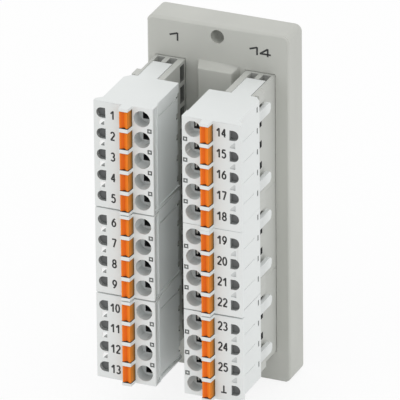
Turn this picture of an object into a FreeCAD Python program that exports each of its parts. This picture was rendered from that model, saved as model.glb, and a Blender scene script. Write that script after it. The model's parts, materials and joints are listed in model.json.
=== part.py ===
import FreeCAD, Part
import os
import re
import Sketcher

# Interface terminal module: an upright plate with two columns of pluggable terminal blocks.
# X runs across the plate, Y from the terminals to the rear, Z up along the columns, in millimetres.
# The origin is on the plate's rear face, half-way between its two screw holes.

Vector = FreeCAD.Vector
Rotation = FreeCAD.Rotation

# Driving dimensions
SIZES = {
    # plate
    "plate_width": 33.7,
    "plate_height": 84.2,
    "plate_thickness": 7.6,
    "plate_corner": 1.6,
    "plate_edge": 0.5,
    "front_wall": 2.4,
    "plate_rim": 1.5,
    "end_block": 6.0,
    "screw_hole": 3.2,
    "screw_hole_inset": 2.6,
    "boss_width": 10.05,
    "boss_rise": 2.3,
    "boss_taper": 23.5,
    "boss_lead": 0.65,
    "boss_shift": 0.275,
    # terminal columns
    "pitch": 5.0,
    "end_margin": 0.25,
    "block_gap": 0.29,
    "column_inset": 5.78,
    "column_shift": 0.54,
    "column_drop": 0.865,
    "column_stagger": 0.12,
    # header shroud and its pins
    "header_height": 11.6,
    "header_inner_wall": 1.5,
    "header_outer_wall": 0.7,
    "header_floor": 3.2,
    "slot_clearance": 0.05,
    "pin_side": 1.0,
    "pin_clearance": 0.05,
    "pin_reach": 7.4,
    "window_depth": 1.1,
    "end_window_depth": 3.0,
    "window_margin": 0.5,
    "window_rib": 1.2,
    "lug_rise": 1.0,
    "lug_length": 3.0,
    "lug_height": 2.3,
    "lug_inset": 0.4,
    "wall_slot_height": 1.5,
    "wall_slot_depth": 4.0,
    "wall_slot_drop": 0.35,
    # plug housing
    "plug_depth": 15.0,
    "plug_seat": 0.2,
    "hook_reach": 6.35,
    "hole_reach": 7.69,
    "flare_edge": 1.1,
    "flare_back": 2.2,
    "flare_in": 1.38,
    "rear_chamfer": 1.2,
    "rear_chamfer_depth": 1.5,
    "rim_depth": 3.0,
    "rim_step": 0.25,
    "panel_start": 3.5,
    "panel_depth": 0.3,
    "panel_end": 2.8,
    "panel_far_end": 0.8,
    "neck_width": 4.5,
    "neck_clearance": 0.11,
    "neck_gap": 0.2,
    # plug front
    "ridge_rise": 2.1,
    "ridge_base": 2.45,
    "ridge_top": 2.1,
    "button_line": 1.57,
    "entry_line": 5.05,
    "entry_bore": 3.75,
    "entry_depth": 3.0,
    "clamp_width": 1.9,
    "clamp_height": 2.4,
    "test_line": 3.57,
    "test_width": 2.1,
    "test_height": 2.4,
    "test_depth": 1.0,
    # plug inside
    "chamber_start": 7.2,
    "chamber_end": 13.25,
    "chamber_reach": 6.55,
    "fork_chamber_width": 2.3,
    "fork_chamber_height": 2.4,
    "fork_chamber_start": 12.6,
    # locking fingers
    "finger_length": 5.5,
    "finger_root": 2.0,
    "finger_thickness": 0.95,
    "finger_height": 2.45,
    "finger_round": 0.7,
    "finger_clearance": 0.7,
    "finger_inset": 4.43,
    # push button
    "button_width": 2.3,
    "button_crest": 1.95,
    "button_height": 3.9,
    "button_clearance": 0.1,
    "button_recess": 0.05,
    "groove_width": 1.35,
    "groove_depth": 0.5,
    "foot_width": 0.5,
    "foot_length": 1.0,
    "foot_clearance": 0.1,
    "stem_width": 1.5,
    "stem_reach": 9.5,
    # clamp contact and leaf spring
    "sheet": 0.42,
    "contact_height": 2.0,
    "contact_gap": 0.06,
    "contact_seat": 0.1,
    "cage_length": 5.1,
    "fork_end_gap": 1.0,
    "leaf": 0.3,
    "leaf_seat": 0.05,
    "leaf_height": 1.8,
    "leaf_edge": 0.25,
    "leaf_bend": 0.8,
    "leaf_rise": 3.7,
    "leaf_tip_gap": 0.35,
    # circuit board and the catches that hold it
    "board_thickness": 1.6,
    "board_clearance": 0.2,
    "catch_reach": 0.8,
    "catch_depth": 1.6,
    "catch_length": 8.0,
    "catch_spacing": 40.0,
    "catch_clearance": 0.05,
    # rear connector
    "flange_length": 53.0,
    "flange_width": 12.5,
    "flange_thickness": 0.9,
    "shell_length": 38.9,
    "shell_width": 8.4,
    "shell_slope": 1.5,
    "shell_corner": 1.8,
    "shell_wall": 0.5,
    "shell_reach": 6.0,
    "insulator_length": 41.0,
    "insulator_width": 10.4,
    "insulator_face": 0.6,
    "insulator_clearance": 0.05,
    "contact_end_margin": 5.78,
    "contact_rows": 2.84,
    "contact_width": 1.0,
    "contact_reach": 4.6,
    "screw_lock_spacing": 47.04,
    "screw_lock_width": 4.75,
    "screw_lock_length": 5.0,
}

# The blocks of a column, from its top, with their number of positions
BLOCKS = (("top", 5), ("middle", 4), ("bottom", 4))
POSITIONS = sum(count for _, count in BLOCKS)
REAR_ROW = 13
HEX_CORNER = 3 ** -0.5

doc = FreeCAD.newDocument("interface_terminal_module")
sheet = doc.addObject("Spreadsheet::Sheet", "Sizes")
for line, (name, value) in enumerate(SIZES.items(), start=1):
    sheet.set(f"A{line}", name)
    sheet.set(f"B{line}", str(value))
    sheet.setAlias(f"B{line}", name)
doc.recompute()


# Formulas over the sheet's sizes

def bound(formula):
    """The formula as an expression that reads the sheet."""
    return re.sub(r"[a-z][a-z_]+", lambda word: "Sizes." + word.group(0), formula)


def worth(formula):
    """The formula's present value, for a sketch's first draft."""
    return float(sheet.evalExpression(bound(formula)))


# Sketches and features

def new_body(name, pieces=1):
    body = doc.addObject("PartDesign::Body", name)
    body.Label = name
    body.AllowCompound = pieces > 1
    return body


def datum(body, role):
    return next(item for item in body.Origin.OriginFeatures if item.Role == role)


def new_sketch(body, name, plane, shift="0"):
    """A sketch on one of the body's own planes, shifted along the plane's normal."""
    sketch = body.newObject("Sketcher::SketchObject", name)
    sketch.AttachmentSupport = [(datum(body, plane), "")]
    sketch.MapMode = "FlatFace"
    sketch.setExpression(".AttachmentOffset.Base.z", bound(shift))
    return sketch


def hold(sketch, kind, geometry, point, formula):
    """Hold a point at its distance from the sketch's origin."""
    index = sketch.addConstraint(Sketcher.Constraint(kind, -1, 1, geometry, point, worth(formula)))
    sketch.setExpression(f"Constraints[{index}]", bound(formula))


def join(sketch, geometry, following):
    sketch.addConstraint(Sketcher.Constraint("Coincident", geometry, 2, following, 1))


def outline(sketch, corners):
    """A closed outline through corners, each given by its two formulas."""
    first = sketch.GeometryCount
    places = [Vector(worth(x), worth(y), 0) for x, y in corners]
    count = len(places)
    for i in range(count):
        sketch.addGeometry(Part.LineSegment(places[i], places[(i + 1) % count]), False)
    for i in range(count):
        join(sketch, first + i, first + (i + 1) % count)
    for i, (x, y) in enumerate(corners):
        hold(sketch, "DistanceX", first + i, 1, x)
        hold(sketch, "DistanceY", first + i, 1, y)


def rectangle(sketch, left, low, right, high):
    outline(sketch, [(left, low), (right, low), (right, high), (left, high)])


def circle(sketch, x, y, diameter):
    centre = Vector(worth(x), worth(y), 0)
    ring = sketch.addGeometry(Part.Circle(centre, Vector(0, 0, 1), worth(diameter) / 2), False)
    hold(sketch, "DistanceX", ring, 3, x)
    hold(sketch, "DistanceY", ring, 3, y)
    index = sketch.addConstraint(Sketcher.Constraint("Diameter", ring, worth(diameter)))
    sketch.setExpression(f"Constraints[{index}]", bound(diameter))


def half_round(sketch, flat, low, centre, high):
    """A D: straight along flat, round about centre."""
    lower, upper = Vector(worth(centre), worth(low), 0), Vector(worth(centre), worth(high), 0)
    foot, head = Vector(worth(flat), worth(low), 0), Vector(worth(flat), worth(high), 0)
    tip = Vector(worth(centre) + (upper.y - lower.y) / 2, (upper.y + lower.y) / 2, 0)
    sketch.addGeometry(Part.LineSegment(foot, lower), False)
    sketch.addGeometry(Part.ArcOfCircle(lower, tip, upper), False)
    sketch.addGeometry(Part.LineSegment(upper, head), False)
    sketch.addGeometry(Part.LineSegment(head, foot), False)
    for i in range(4):
        join(sketch, i, (i + 1) % 4)
    ends = ((0, 1, flat, low), (0, 2, centre, low), (2, 1, centre, high), (2, 2, flat, high))
    for geometry, point, x, y in ends:
        hold(sketch, "DistanceX", geometry, point, x)
        hold(sketch, "DistanceY", geometry, point, y)
    hold(sketch, "DistanceX", 1, 3, centre)


def extrude(kind, body, sketch, length, both_sides, backwards):
    feature = body.newObject(f"PartDesign::{kind}", f"{sketch.Name}_{kind.lower()}")
    feature.Profile = sketch
    feature.SideType = "Symmetric" if both_sides else "One side"
    feature.Reversed = backwards
    feature.setExpression("Length", bound(length))
    return feature


def pad(body, sketch, length, both_sides=False, backwards=False):
    return extrude("Pad", body, sketch, length, both_sides, backwards)


def pocket(body, sketch, depth, both_sides=False, backwards=False):
    """A cut, which has to take something away."""
    doc.recompute()
    before = body.Tip.Shape.Volume
    feature = extrude("Pocket", body, sketch, depth, both_sides, backwards)
    doc.recompute()
    if feature.Shape.Volume > before - 1e-3:
        raise RuntimeError(f"{sketch.Label} cuts nothing")
    return feature


def row_down(body, originals, count, step):
    """Repeat features downwards from the highest one."""
    pattern = body.newObject("PartDesign::LinearPattern", f"{originals[0].Name}_row")
    pattern.Originals = originals
    pattern.Direction = (datum(body, "Z_Axis"), [""])
    pattern.Reversed = True
    pattern.Mode = "Spacing"
    pattern.Occurrences = count
    pattern.setExpression("Offset", bound(step))
    body.Tip = pattern
    return pattern


def at_both_ends(body, original):
    """Repeat a feature below the body's middle."""
    mirror = body.newObject("PartDesign::Mirrored", f"{original.Name}_mirror")
    mirror.Originals = [original]
    mirror.MirrorPlane = (datum(body, "XY_Plane"), [""])
    body.Tip = mirror
    return mirror


# Formulas that several pieces share

HALF_COLUMN = f"({POSITIONS / 2} * pitch + {len(BLOCKS)} * end_margin + {(len(BLOCKS) - 1) / 2} * block_gap)"
COLUMN_REACH = "(plate_width / 2 - column_inset)"
RECESS_SIDE = "(plate_width / 2 - plate_rim)"
RECESS_END = "(plate_height / 2 - end_block)"
BOARD_FACE = "(plate_thickness - front_wall)"
BOARD_BACK = "(plate_thickness - front_wall - board_thickness)"
FACE = "(plate_thickness + header_height + plug_seat + plug_depth)"
NECK_END = "(plug_depth + plug_seat + header_height - header_floor - neck_gap)"
SOCKET = "(neck_width / 2 + neck_clearance)"
HEADER_INNER = f"({SOCKET} + header_inner_wall)"
HEADER_OUTER = f"({SOCKET} + header_outer_wall)"
HOOK_SIDE = "(hook_reach - flare_in)"
SLOT_NEAR = "(button_line - button_width / 2 - button_clearance)"
SLOT_FAR = "(button_line + button_width / 2 + button_clearance)"
BAR_BACK = "(chamber_end - contact_seat)"
BAR_FRONT = f"({BAR_BACK} - sheet)"
CONTACT_PITCH = f"((shell_length - contact_end_margin) / {REAR_ROW - 1})"


def block_length(count):
    return f"({count} * pitch + 2 * end_margin)"


def first_row(count):
    """Height of a block's highest position above its middle."""
    return f"({(count - 1) / 2} * pitch)"


def lift(side):
    """Height of a column's middle: the right column sits a little lower than the left."""
    return "(column_stagger - column_drop)" if side == "left" else "(-column_stagger - column_drop)"


def blocks():
    """Each block's column, level, positions, first position in its column and its middle's height."""
    for side in ("left", "right"):
        above = 0
        for order, (level, count) in enumerate(BLOCKS):
            margins = f"{2 * order + 1} * end_margin + {order} * block_gap"
            middle = f"({lift(side)} + {HALF_COLUMN} - {above + count / 2} * pitch - ({margins}))"
            yield side, level, count, above, middle
            above += count


def across(side):
    return f"({COLUMN_REACH} - column_shift)" if side == "right" else f"(-{COLUMN_REACH} - column_shift)"


def set_place(piece, x, y, z):
    for axis, formula in zip("xyz", (x, y, z)):
        piece.setExpression(f".Placement.Base.{axis}", bound(formula))


def set_in_column(piece, side, y, z, inward="0"):
    """The left column's pieces are the right one's turned half round the plugging axis."""
    if side == "left":
        piece.Placement = FreeCAD.Placement(Vector(), Rotation(Vector(0, 1, 0), 180))
    x = f"{across(side)} - {inward}" if side == "right" else f"{across(side)} + {inward}"
    set_place(piece, x, y, z)


# Base plate

def edges_where(shape, chosen):
    return [f"Edge{i}" for i, edge in enumerate(shape.Edges, start=1) if chosen(edge)]


def base_plate():
    body = new_body("base_plate")
    blank = new_sketch(body, "plate_outline", "XZ_Plane")
    rectangle(blank, "-plate_width / 2", "-plate_height / 2", "plate_width / 2", "plate_height / 2")
    slab = pad(body, blank, "plate_thickness")
    doc.recompute()

    corners = body.newObject("PartDesign::Fillet", "plate_corners")
    upright = worth("plate_thickness / 2")
    corners.Base = (slab, edges_where(slab.Shape, lambda edge: edge.BoundBox.YLength > upright))
    corners.setExpression("Radius", bound("plate_corner"))
    doc.recompute()

    front_edges = body.newObject("PartDesign::Chamfer", "plate_front_edges")
    front_edges.Base = (corners, edges_where(corners.Shape, lambda edge: edge.BoundBox.YMax < -upright))
    front_edges.setExpression("Size", bound("plate_edge"))

    boss = new_sketch(body, "boss_outline", "XZ_Plane", "plate_thickness")
    boss_half = f"({HALF_COLUMN} + boss_lead)"
    rectangle(boss, "boss_shift - boss_width / 2", f"-{boss_half} - column_drop",
              "boss_shift + boss_width / 2", f"{boss_half} - column_drop")
    rise = pad(body, boss, "boss_rise")
    rise.setExpression("TaperAngle", bound("-boss_taper"))

    holes = new_sketch(body, "screw_holes", "XZ_Plane")
    for level in ("plate_height / 2 - screw_hole_inset", "screw_hole_inset - plate_height / 2"):
        circle(holes, "0", level, "screw_hole")
    pocket(body, holes, "plate_thickness", backwards=True)

    recess = new_sketch(body, "board_recess", "XZ_Plane")
    rectangle(recess, f"-{RECESS_SIDE}", f"-{RECESS_END}", RECESS_SIDE, RECESS_END)
    pocket(body, recess, BOARD_FACE, backwards=True)

    slots = new_sketch(body, "header_slots", "XZ_Plane")
    inner = f"({COLUMN_REACH} - {HEADER_INNER} - slot_clearance)"
    outer = f"({COLUMN_REACH} + {HEADER_OUTER} + slot_clearance)"
    half = f"({HALF_COLUMN} + slot_clearance)"
    for side, near, far in (("left", f"-{outer}", f"-{inner}"), ("right", inner, outer)):
        rectangle(slots, f"{near} - column_shift", f"{lift(side)} - {half}",
                  f"{far} - column_shift", f"{lift(side)} + {half}")
    pocket(body, slots, "plate_thickness", backwards=True)

    catches = new_sketch(body, "board_catches", "XY_Plane", "catch_spacing / 2")
    ledge = f"(catch_clearance - {BOARD_BACK})"
    for sign in ("", "-"):
        outline(catches, [(f"{sign}{RECESS_SIDE}", ledge), (f"{sign}({RECESS_SIDE} - catch_reach)", ledge),
                          (f"{sign}{RECESS_SIDE}", f"{ledge} + catch_depth")])
    at_both_ends(body, pad(body, catches, "catch_length", both_sides=True))
    return body


# Circuit board, held against the plate's front wall by the catches

def circuit_board():
    body = new_body("circuit_board")
    board = new_sketch(body, "board_outline", "XZ_Plane", BOARD_BACK)
    half_width, half_height = f"({RECESS_SIDE} - board_clearance)", f"({RECESS_END} - board_clearance)"
    rectangle(board, f"-{half_width}", f"-{half_height}", half_width, half_height)
    pad(body, board, "board_thickness")
    return body


# Header shroud: a channel with a thick inner wall, a slotted thin one, windows round its foot and pin holes

def header(side, level, count, middle):
    body = new_body(f"header_{side}_{level}")
    prefix = f"{side}_{level}_header"
    channel = new_sketch(body, f"{prefix}_section", "XY_Plane")
    outline(channel, [(f"-{HEADER_INNER}", "front_wall"), (f"-{HEADER_INNER}", "-header_height"),
                      (f"-{SOCKET}", "-header_height"), (f"-{SOCKET}", "-header_floor"),
                      (SOCKET, "-header_floor"), (SOCKET, "-header_height"),
                      (HEADER_OUTER, "-header_height"), (HEADER_OUTER, "front_wall")])
    pad(body, channel, block_length(count), both_sides=True)

    lug = new_sketch(body, f"{prefix}_lug", "YZ_Plane", HEADER_OUTER)
    end = f"{block_length(count)} / 2"
    rectangle(lug, "lug_inset - header_height", f"{end} - lug_height",
              "lug_inset + lug_length - header_height", end)
    at_both_ends(body, pad(body, lug, "lug_rise"))

    row = first_row(count)
    wall_slot = new_sketch(body, f"{prefix}_wall_slot", "YZ_Plane", HEADER_OUTER)
    slot_level = f"({row} - wall_slot_drop)"
    rectangle(wall_slot, "-header_height", f"{slot_level} - wall_slot_height / 2",
              "wall_slot_depth - header_height", f"{slot_level} + wall_slot_height / 2")
    row_down(body, [pocket(body, wall_slot, "header_outer_wall")], count - 1, "pitch")

    windows = new_sketch(body, f"{prefix}_end_windows", "XY_Plane", end)
    mouth, sill = "-header_floor - window_margin", "-window_margin"
    rectangle(windows, f"-{SOCKET}", mouth, "-window_rib / 2", sill)
    rectangle(windows, "window_rib / 2", mouth, SOCKET, sill)
    at_both_ends(body, pocket(body, windows, "end_window_depth"))

    side_window = new_sketch(body, f"{prefix}_side_window", "YZ_Plane", f"-{HEADER_INNER}")
    half = "(pitch / 2 - window_rib / 2)"
    rectangle(side_window, "window_margin - header_floor", f"{row} - {half}", sill, f"{row} + {half}")
    pin_hole = new_sketch(body, f"{prefix}_pin_hole", "XZ_Plane", "header_floor")
    reach = "(pin_side / 2 + pin_clearance)"
    rectangle(pin_hole, f"-{reach}", f"{row} - {reach}", reach, f"{row} + {reach}")
    cuts = [pocket(body, side_window, "window_depth", backwards=True),
            pocket(body, pin_hole, "header_floor + front_wall")]
    row_down(body, cuts, count, "pitch")
    set_in_column(body, side, "-plate_thickness", middle)
    return body


def header_pins():
    """Every square pin, from the board through its header's floor."""
    pins = []
    for side, level, count, above, middle in blocks():
        for i in range(count):
            pin = doc.addObject("Part::Box", f"pin_{side}_{above + i + 1}")
            pin.setExpression("Length", bound("pin_side"))
            pin.setExpression("Width", bound("front_wall + header_floor + pin_reach"))
            pin.setExpression("Height", bound("pin_side"))
            set_place(pin, f"{across(side)} - pin_side / 2",
                      "-plate_thickness - header_floor - pin_reach",
                      f"{middle} + {first_row(count)} - {i} * pitch - pin_side / 2")
            pins.append(pin)
    group = doc.addObject("Part::Compound", "header_pins")
    group.Label = "header_pins"
    group.Links = pins
    return group


# Plug: housing, clamp contacts and leaf springs, drawn with the plug's front face at Y 0

def plug_housing(side, level, count, middle):
    body = new_body(f"plug_{side}_{level}")
    prefix = f"{side}_{level}"
    length = block_length(count)
    row = first_row(count)
    body_side = "(hole_reach - rim_step)"
    section = new_sketch(body, f"{prefix}_section", "XY_Plane")
    outline(section, [("hook_reach", "0"), ("hook_reach", "flare_edge"), (HOOK_SIDE, "flare_back"),
                      (HOOK_SIDE, "plug_depth - rear_chamfer_depth"),
                      (f"{HOOK_SIDE} - rear_chamfer", "plug_depth"),
                      ("neck_width / 2", "plug_depth"), ("neck_width / 2", NECK_END),
                      ("-neck_width / 2", NECK_END), ("-neck_width / 2", "plug_depth"),
                      (f"-{body_side}", "plug_depth"), (f"-{body_side}", "rim_depth"),
                      ("-hole_reach", "rim_depth"), ("-hole_reach", "0"),
                      ("-button_line - ridge_base / 2", "0"), ("-button_line - ridge_top / 2", "-ridge_rise"),
                      ("ridge_top / 2 - button_line", "-ridge_rise"), ("ridge_base / 2 - button_line", "0")])
    pad(body, section, length, both_sides=True)

    panel = new_sketch(body, f"{prefix}_side_panel", "YZ_Plane", f"-{body_side}")
    rectangle(panel, "panel_start", f"panel_end - {length} / 2",
              "plug_depth", f"{length} / 2 - panel_far_end")
    pocket(body, panel, "panel_depth", backwards=True)

    fingers = new_sketch(body, f"{prefix}_finger", "YZ_Plane", f"{HEADER_OUTER} + finger_clearance")
    centre = f"({length} / 2 - finger_inset)"
    root, tip = "plug_depth - finger_root", "(plug_depth + finger_length)"
    low, high = f"({centre} - finger_height / 2)", f"({centre} + finger_height / 2)"
    outline(fingers, [(root, low), (f"{tip} - finger_round", low), (tip, f"{low} + finger_round"),
                      (tip, f"{high} - finger_round"), (f"{tip} - finger_round", high), (root, high)])
    at_both_ends(body, pad(body, fingers, "finger_thickness"))

    button_way = new_sketch(body, f"{prefix}_button_way", "XY_Plane", row)
    outline(button_way, [(f"-{SLOT_FAR}", "-2 * ridge_rise"), (f"-{SLOT_NEAR}", "-2 * ridge_rise"),
                         (f"-{SLOT_NEAR}", "chamber_end"), ("-chamber_reach", "chamber_end"),
                         ("-chamber_reach", "chamber_start"), (f"-{SLOT_FAR}", "chamber_start")])
    entry = new_sketch(body, f"{prefix}_entry", "XZ_Plane")
    circle(entry, "-entry_line", row, "entry_bore")
    clamp = new_sketch(body, f"{prefix}_clamp_opening", "XZ_Plane", "-entry_depth")
    rectangle(clamp, "-entry_line - clamp_width / 2", f"{row} - clamp_height / 2",
              "clamp_width / 2 - entry_line", f"{row} + clamp_height / 2")
    test = new_sketch(body, f"{prefix}_test_opening", "XZ_Plane")
    half_round(test, "test_line", f"{row} - test_height / 2",
               "test_line + test_width - test_height / 2", f"{row} + test_height / 2")
    fork = new_sketch(body, f"{prefix}_fork_chamber", "XZ_Plane", f"-{NECK_END}")
    rectangle(fork, "-fork_chamber_width / 2", f"{row} - fork_chamber_height / 2",
              "fork_chamber_width / 2", f"{row} + fork_chamber_height / 2")
    cuts = [pocket(body, button_way, "button_height + 2 * button_clearance", both_sides=True),
            pocket(body, entry, "entry_depth"),
            pocket(body, clamp, "chamber_start - entry_depth"),
            pocket(body, test, "test_depth"),
            pocket(body, fork, f"{NECK_END} - fork_chamber_start", backwards=True)]
    row_down(body, cuts, count, "pitch")
    set_in_column(body, side, f"-{FACE}", middle)
    return body


def strip_row(name, corners, height, side, count, middle):
    """A bent strip for each position of a plug, as one group."""
    body = new_body(name, pieces=count)
    section = new_sketch(body, f"{name}_section", "XY_Plane", first_row(count))
    outline(section, corners)
    strip = pad(body, section, height, both_sides=True)
    doc.recompute()
    row_down(body, [strip], count, "pitch")
    set_in_column(body, side, f"-{FACE}", middle)
    return body


def clamp_contacts(side, level, count, middle):
    blade = "(pin_side / 2 + contact_gap)"
    outside = f"({blade} + sheet)"
    fork_end = f"({NECK_END} - fork_end_gap)"
    cage = "(chamber_reach - contact_seat)"
    cage_front = f"({BAR_BACK} - cage_length)"
    corners = [(outside, BAR_FRONT), (outside, fork_end), (blade, fork_end), (blade, BAR_BACK),
               (f"-{blade}", BAR_BACK), (f"-{blade}", fork_end), (f"-{outside}", fork_end),
               (f"-{outside}", BAR_BACK), (f"-{cage}", BAR_BACK), (f"-{cage}", cage_front),
               (f"sheet - {cage}", cage_front), (f"sheet - {cage}", BAR_FRONT)]
    return strip_row(f"plug_{side}_{level}_contacts", corners, "contact_height", side, count, middle)


def leaf_springs(side, level, count, middle):
    seat = f"({BAR_FRONT} - leaf_seat)"
    near = f"(-{SLOT_NEAR} - leaf_edge)"
    tip = "(sheet + contact_seat + leaf_tip_gap - chamber_reach)"
    corners = [(tip, seat), (f"{near} - leaf_bend", seat), (near, f"{seat} - leaf_bend"),
               (tip, f"{seat} - leaf_rise"), (tip, f"{seat} - leaf_rise + leaf"),
               (f"{near} - leaf", f"{seat} - leaf_bend + leaf / 2"),
               (f"{near} - leaf_bend", f"{seat} - leaf"), (tip, f"{seat} - leaf")]
    return strip_row(f"plug_{side}_{level}_springs", corners, "leaf_height", side, count, middle)


# Push buttons

def push_button(name, side, height):
    """A grooved crest in the ridge's gap, and a foot that holds it behind the chamber's front wall."""
    body = new_body(name)
    crest = "(button_recess - ridge_rise)"
    foot = "(chamber_start + foot_clearance)"
    foot_end = f"({foot} + foot_length)"
    section = new_sketch(body, f"{name}_section", "XY_Plane")
    outline(section, [("-button_width / 2", "0"), ("-button_crest / 2", crest),
                      ("-groove_width / 2", crest), ("0", f"{crest} + groove_depth"),
                      ("groove_width / 2", crest), ("button_crest / 2", crest),
                      ("button_width / 2", "0"), ("button_width / 2", foot_end),
                      ("stem_width / 2", "stem_reach"), ("-stem_width / 2", "stem_reach"),
                      ("-button_width / 2 - foot_width", foot_end), ("-button_width / 2 - foot_width", foot),
                      ("-button_width / 2", foot)])
    pad(body, section, "button_height", both_sides=True)
    set_in_column(body, side, f"-{FACE}", height, "button_line")
    return body


# Rear connector

def shell_outline(sketch, inset):
    """The connector's D: long sides along Z, the +X side shorter, corners cut off."""
    long_half = f"(shell_length / 2 - {inset})"
    short_half = f"({long_half} - shell_slope)"
    half = f"(shell_width / 2 - {inset})"
    cut = f"(shell_corner - {inset} / 2)"
    upper = [(f"-{half}", f"{long_half} - {cut}"), (f"{cut} - {half}", long_half),
             (f"{half} - {cut}", short_half), (half, f"{short_half} - {cut}")]
    lower = [(x, f"-({z})") for x, z in reversed(upper)]
    outline(sketch, upper + lower)


def connector_shell():
    body = new_body("connector_shell")
    flange = new_sketch(body, "connector_flange", "XZ_Plane")
    rectangle(flange, "-flange_width / 2", "-flange_length / 2", "flange_width / 2", "flange_length / 2")
    shell_outline(flange, "shell_wall")
    pad(body, flange, "flange_thickness")
    wall = new_sketch(body, "connector_wall", "XZ_Plane")
    shell_outline(wall, "0")
    shell_outline(wall, "shell_wall")
    pad(body, wall, "shell_reach", backwards=True)
    return body


def connector_insulator():
    body = new_body("connector_insulator")
    block = new_sketch(body, "insulator_block", "XZ_Plane", BOARD_BACK)
    rectangle(block, "-insulator_width / 2", "-insulator_length / 2",
              "insulator_width / 2", "insulator_length / 2")
    pad(body, block, f"{BOARD_BACK} - flange_thickness", backwards=True)
    nose = new_sketch(body, "insulator_nose", "XZ_Plane", "flange_thickness")
    shell_outline(nose, "(shell_wall + insulator_clearance)")
    pad(body, nose, "flange_thickness + insulator_face", backwards=True)
    return body


def hexagon(sketch, x, z, width):
    """A hexagon by its width across flats, two of them level."""
    corner, step, half = f"{width} * {HEX_CORNER}", f"{width} * {HEX_CORNER / 2}", f"{width} / 2"
    outline(sketch, [(f"{x} - {step}", f"{z} - {half}"), (f"{x} + {step}", f"{z} - {half}"),
                     (f"{x} + {corner}", z), (f"{x} + {step}", f"{z} + {half}"),
                     (f"{x} - {step}", f"{z} + {half}"), (f"{x} - {corner}", z)])


def connector_pins():
    """Two rows of pins that stand on the insulator's face, as one group."""
    body = new_body("connector_pins", pieces=2 * REAR_ROW - 1)
    for sign, count in (("-", REAR_ROW), ("", REAR_ROW - 1)):
        section = new_sketch(body, f"connector_pin_{count}", "XZ_Plane", "-insulator_face")
        hexagon(section, f"{sign}contact_rows / 2", f"{(count - 1) / 2} * {CONTACT_PITCH}", "contact_width")
        pin = pad(body, section, "contact_reach", backwards=True)
        doc.recompute()
        row_down(body, [pin], count, CONTACT_PITCH)
    return body


def connector_screw_locks():
    """Two hexagonal posts on the flange."""
    body = new_body("connector_screw_locks", pieces=2)
    section = new_sketch(body, "screw_lock", "XZ_Plane")
    hexagon(section, "0", "screw_lock_spacing / 2", "screw_lock_width")
    post = pad(body, section, "screw_lock_length", backwards=True)
    doc.recompute()
    at_both_ends(body, post)
    return body


def position_name(side, number):
    """Positions 1 to 13 on the left and 14 to 25 on the right, with the earth position last."""
    if side == "left":
        return f"button_{number:02d}"
    return f"button_{POSITIONS + number}" if number < POSITIONS else "button_earth"


# Assembly
pieces = [base_plate(), circuit_board(), header_pins()]
for side, level, count, above, middle in blocks():
    pieces.append(header(side, level, count, middle))
    pieces.append(plug_housing(side, level, count, middle))
    pieces.append(clamp_contacts(side, level, count, middle))
    pieces.append(leaf_springs(side, level, count, middle))
    for i in range(count):
        height = f"{middle} + {first_row(count)} - {i} * pitch"
        pieces.append(push_button(position_name(side, above + i + 1), side, height))
pieces += [connector_shell(), connector_insulator(), connector_pins(), connector_screw_locks()]
doc.recompute()

# Every feature has to have worked before anything is written
for item in doc.Objects:
    if "Invalid" in item.State or "Error" in item.State:
        raise RuntimeError(f"{item.Label} failed: {item.State}")
for piece in pieces:
    if piece.Shape.isNull() or not piece.Shape.isValid():
        raise RuntimeError(f"{piece.Label} has no valid shape")

os.makedirs("parts", exist_ok=True)
for piece in pieces:
    piece.Shape.exportStep(f"parts/{piece.Label}.step")
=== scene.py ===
import json
import math

import bmesh
import bpy
from mathutils import Matrix, Vector
from mathutils.geometry import intersect_point_line


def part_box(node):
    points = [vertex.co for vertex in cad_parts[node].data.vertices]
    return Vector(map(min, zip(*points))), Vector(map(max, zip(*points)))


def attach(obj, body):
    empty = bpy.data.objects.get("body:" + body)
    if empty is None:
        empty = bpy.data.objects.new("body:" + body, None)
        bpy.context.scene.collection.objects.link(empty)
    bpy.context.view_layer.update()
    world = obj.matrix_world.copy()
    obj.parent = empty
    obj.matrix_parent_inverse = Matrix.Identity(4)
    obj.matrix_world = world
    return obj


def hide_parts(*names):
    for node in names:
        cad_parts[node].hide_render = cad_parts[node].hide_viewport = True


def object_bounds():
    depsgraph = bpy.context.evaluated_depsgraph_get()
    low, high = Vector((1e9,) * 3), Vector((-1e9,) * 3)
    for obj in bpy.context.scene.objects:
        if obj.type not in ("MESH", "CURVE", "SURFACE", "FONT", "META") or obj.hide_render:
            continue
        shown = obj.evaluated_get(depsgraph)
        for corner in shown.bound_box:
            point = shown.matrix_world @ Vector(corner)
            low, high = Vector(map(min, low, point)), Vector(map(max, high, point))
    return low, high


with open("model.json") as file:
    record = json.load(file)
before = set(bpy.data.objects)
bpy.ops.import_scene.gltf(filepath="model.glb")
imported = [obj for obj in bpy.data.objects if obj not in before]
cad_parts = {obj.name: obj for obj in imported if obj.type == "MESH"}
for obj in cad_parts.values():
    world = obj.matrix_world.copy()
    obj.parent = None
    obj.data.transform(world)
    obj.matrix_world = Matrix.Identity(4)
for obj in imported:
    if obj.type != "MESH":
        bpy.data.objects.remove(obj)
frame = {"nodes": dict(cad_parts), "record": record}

# An interface terminal module: a grey plate with two columns of pluggable terminal blocks.
# The CAD solids give every place and size; this script rounds their edges, carves the small
# relief of the mouldings, prints the position numbers and gives each material its surface.

MM = 0.001
CAD_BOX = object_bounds()
NODES = frame["nodes"]
BODIES = frame["record"]["behaviour"]["bodies"]
BODY_OF = {node: body for body, nodes in BODIES.items() for node in nodes}

# The blocks of a column, from its top, with their number of positions
BLOCKS = (("top", 5), ("middle", 4), ("bottom", 4))
COLUMN = sum(count for _, count in BLOCKS)

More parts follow.
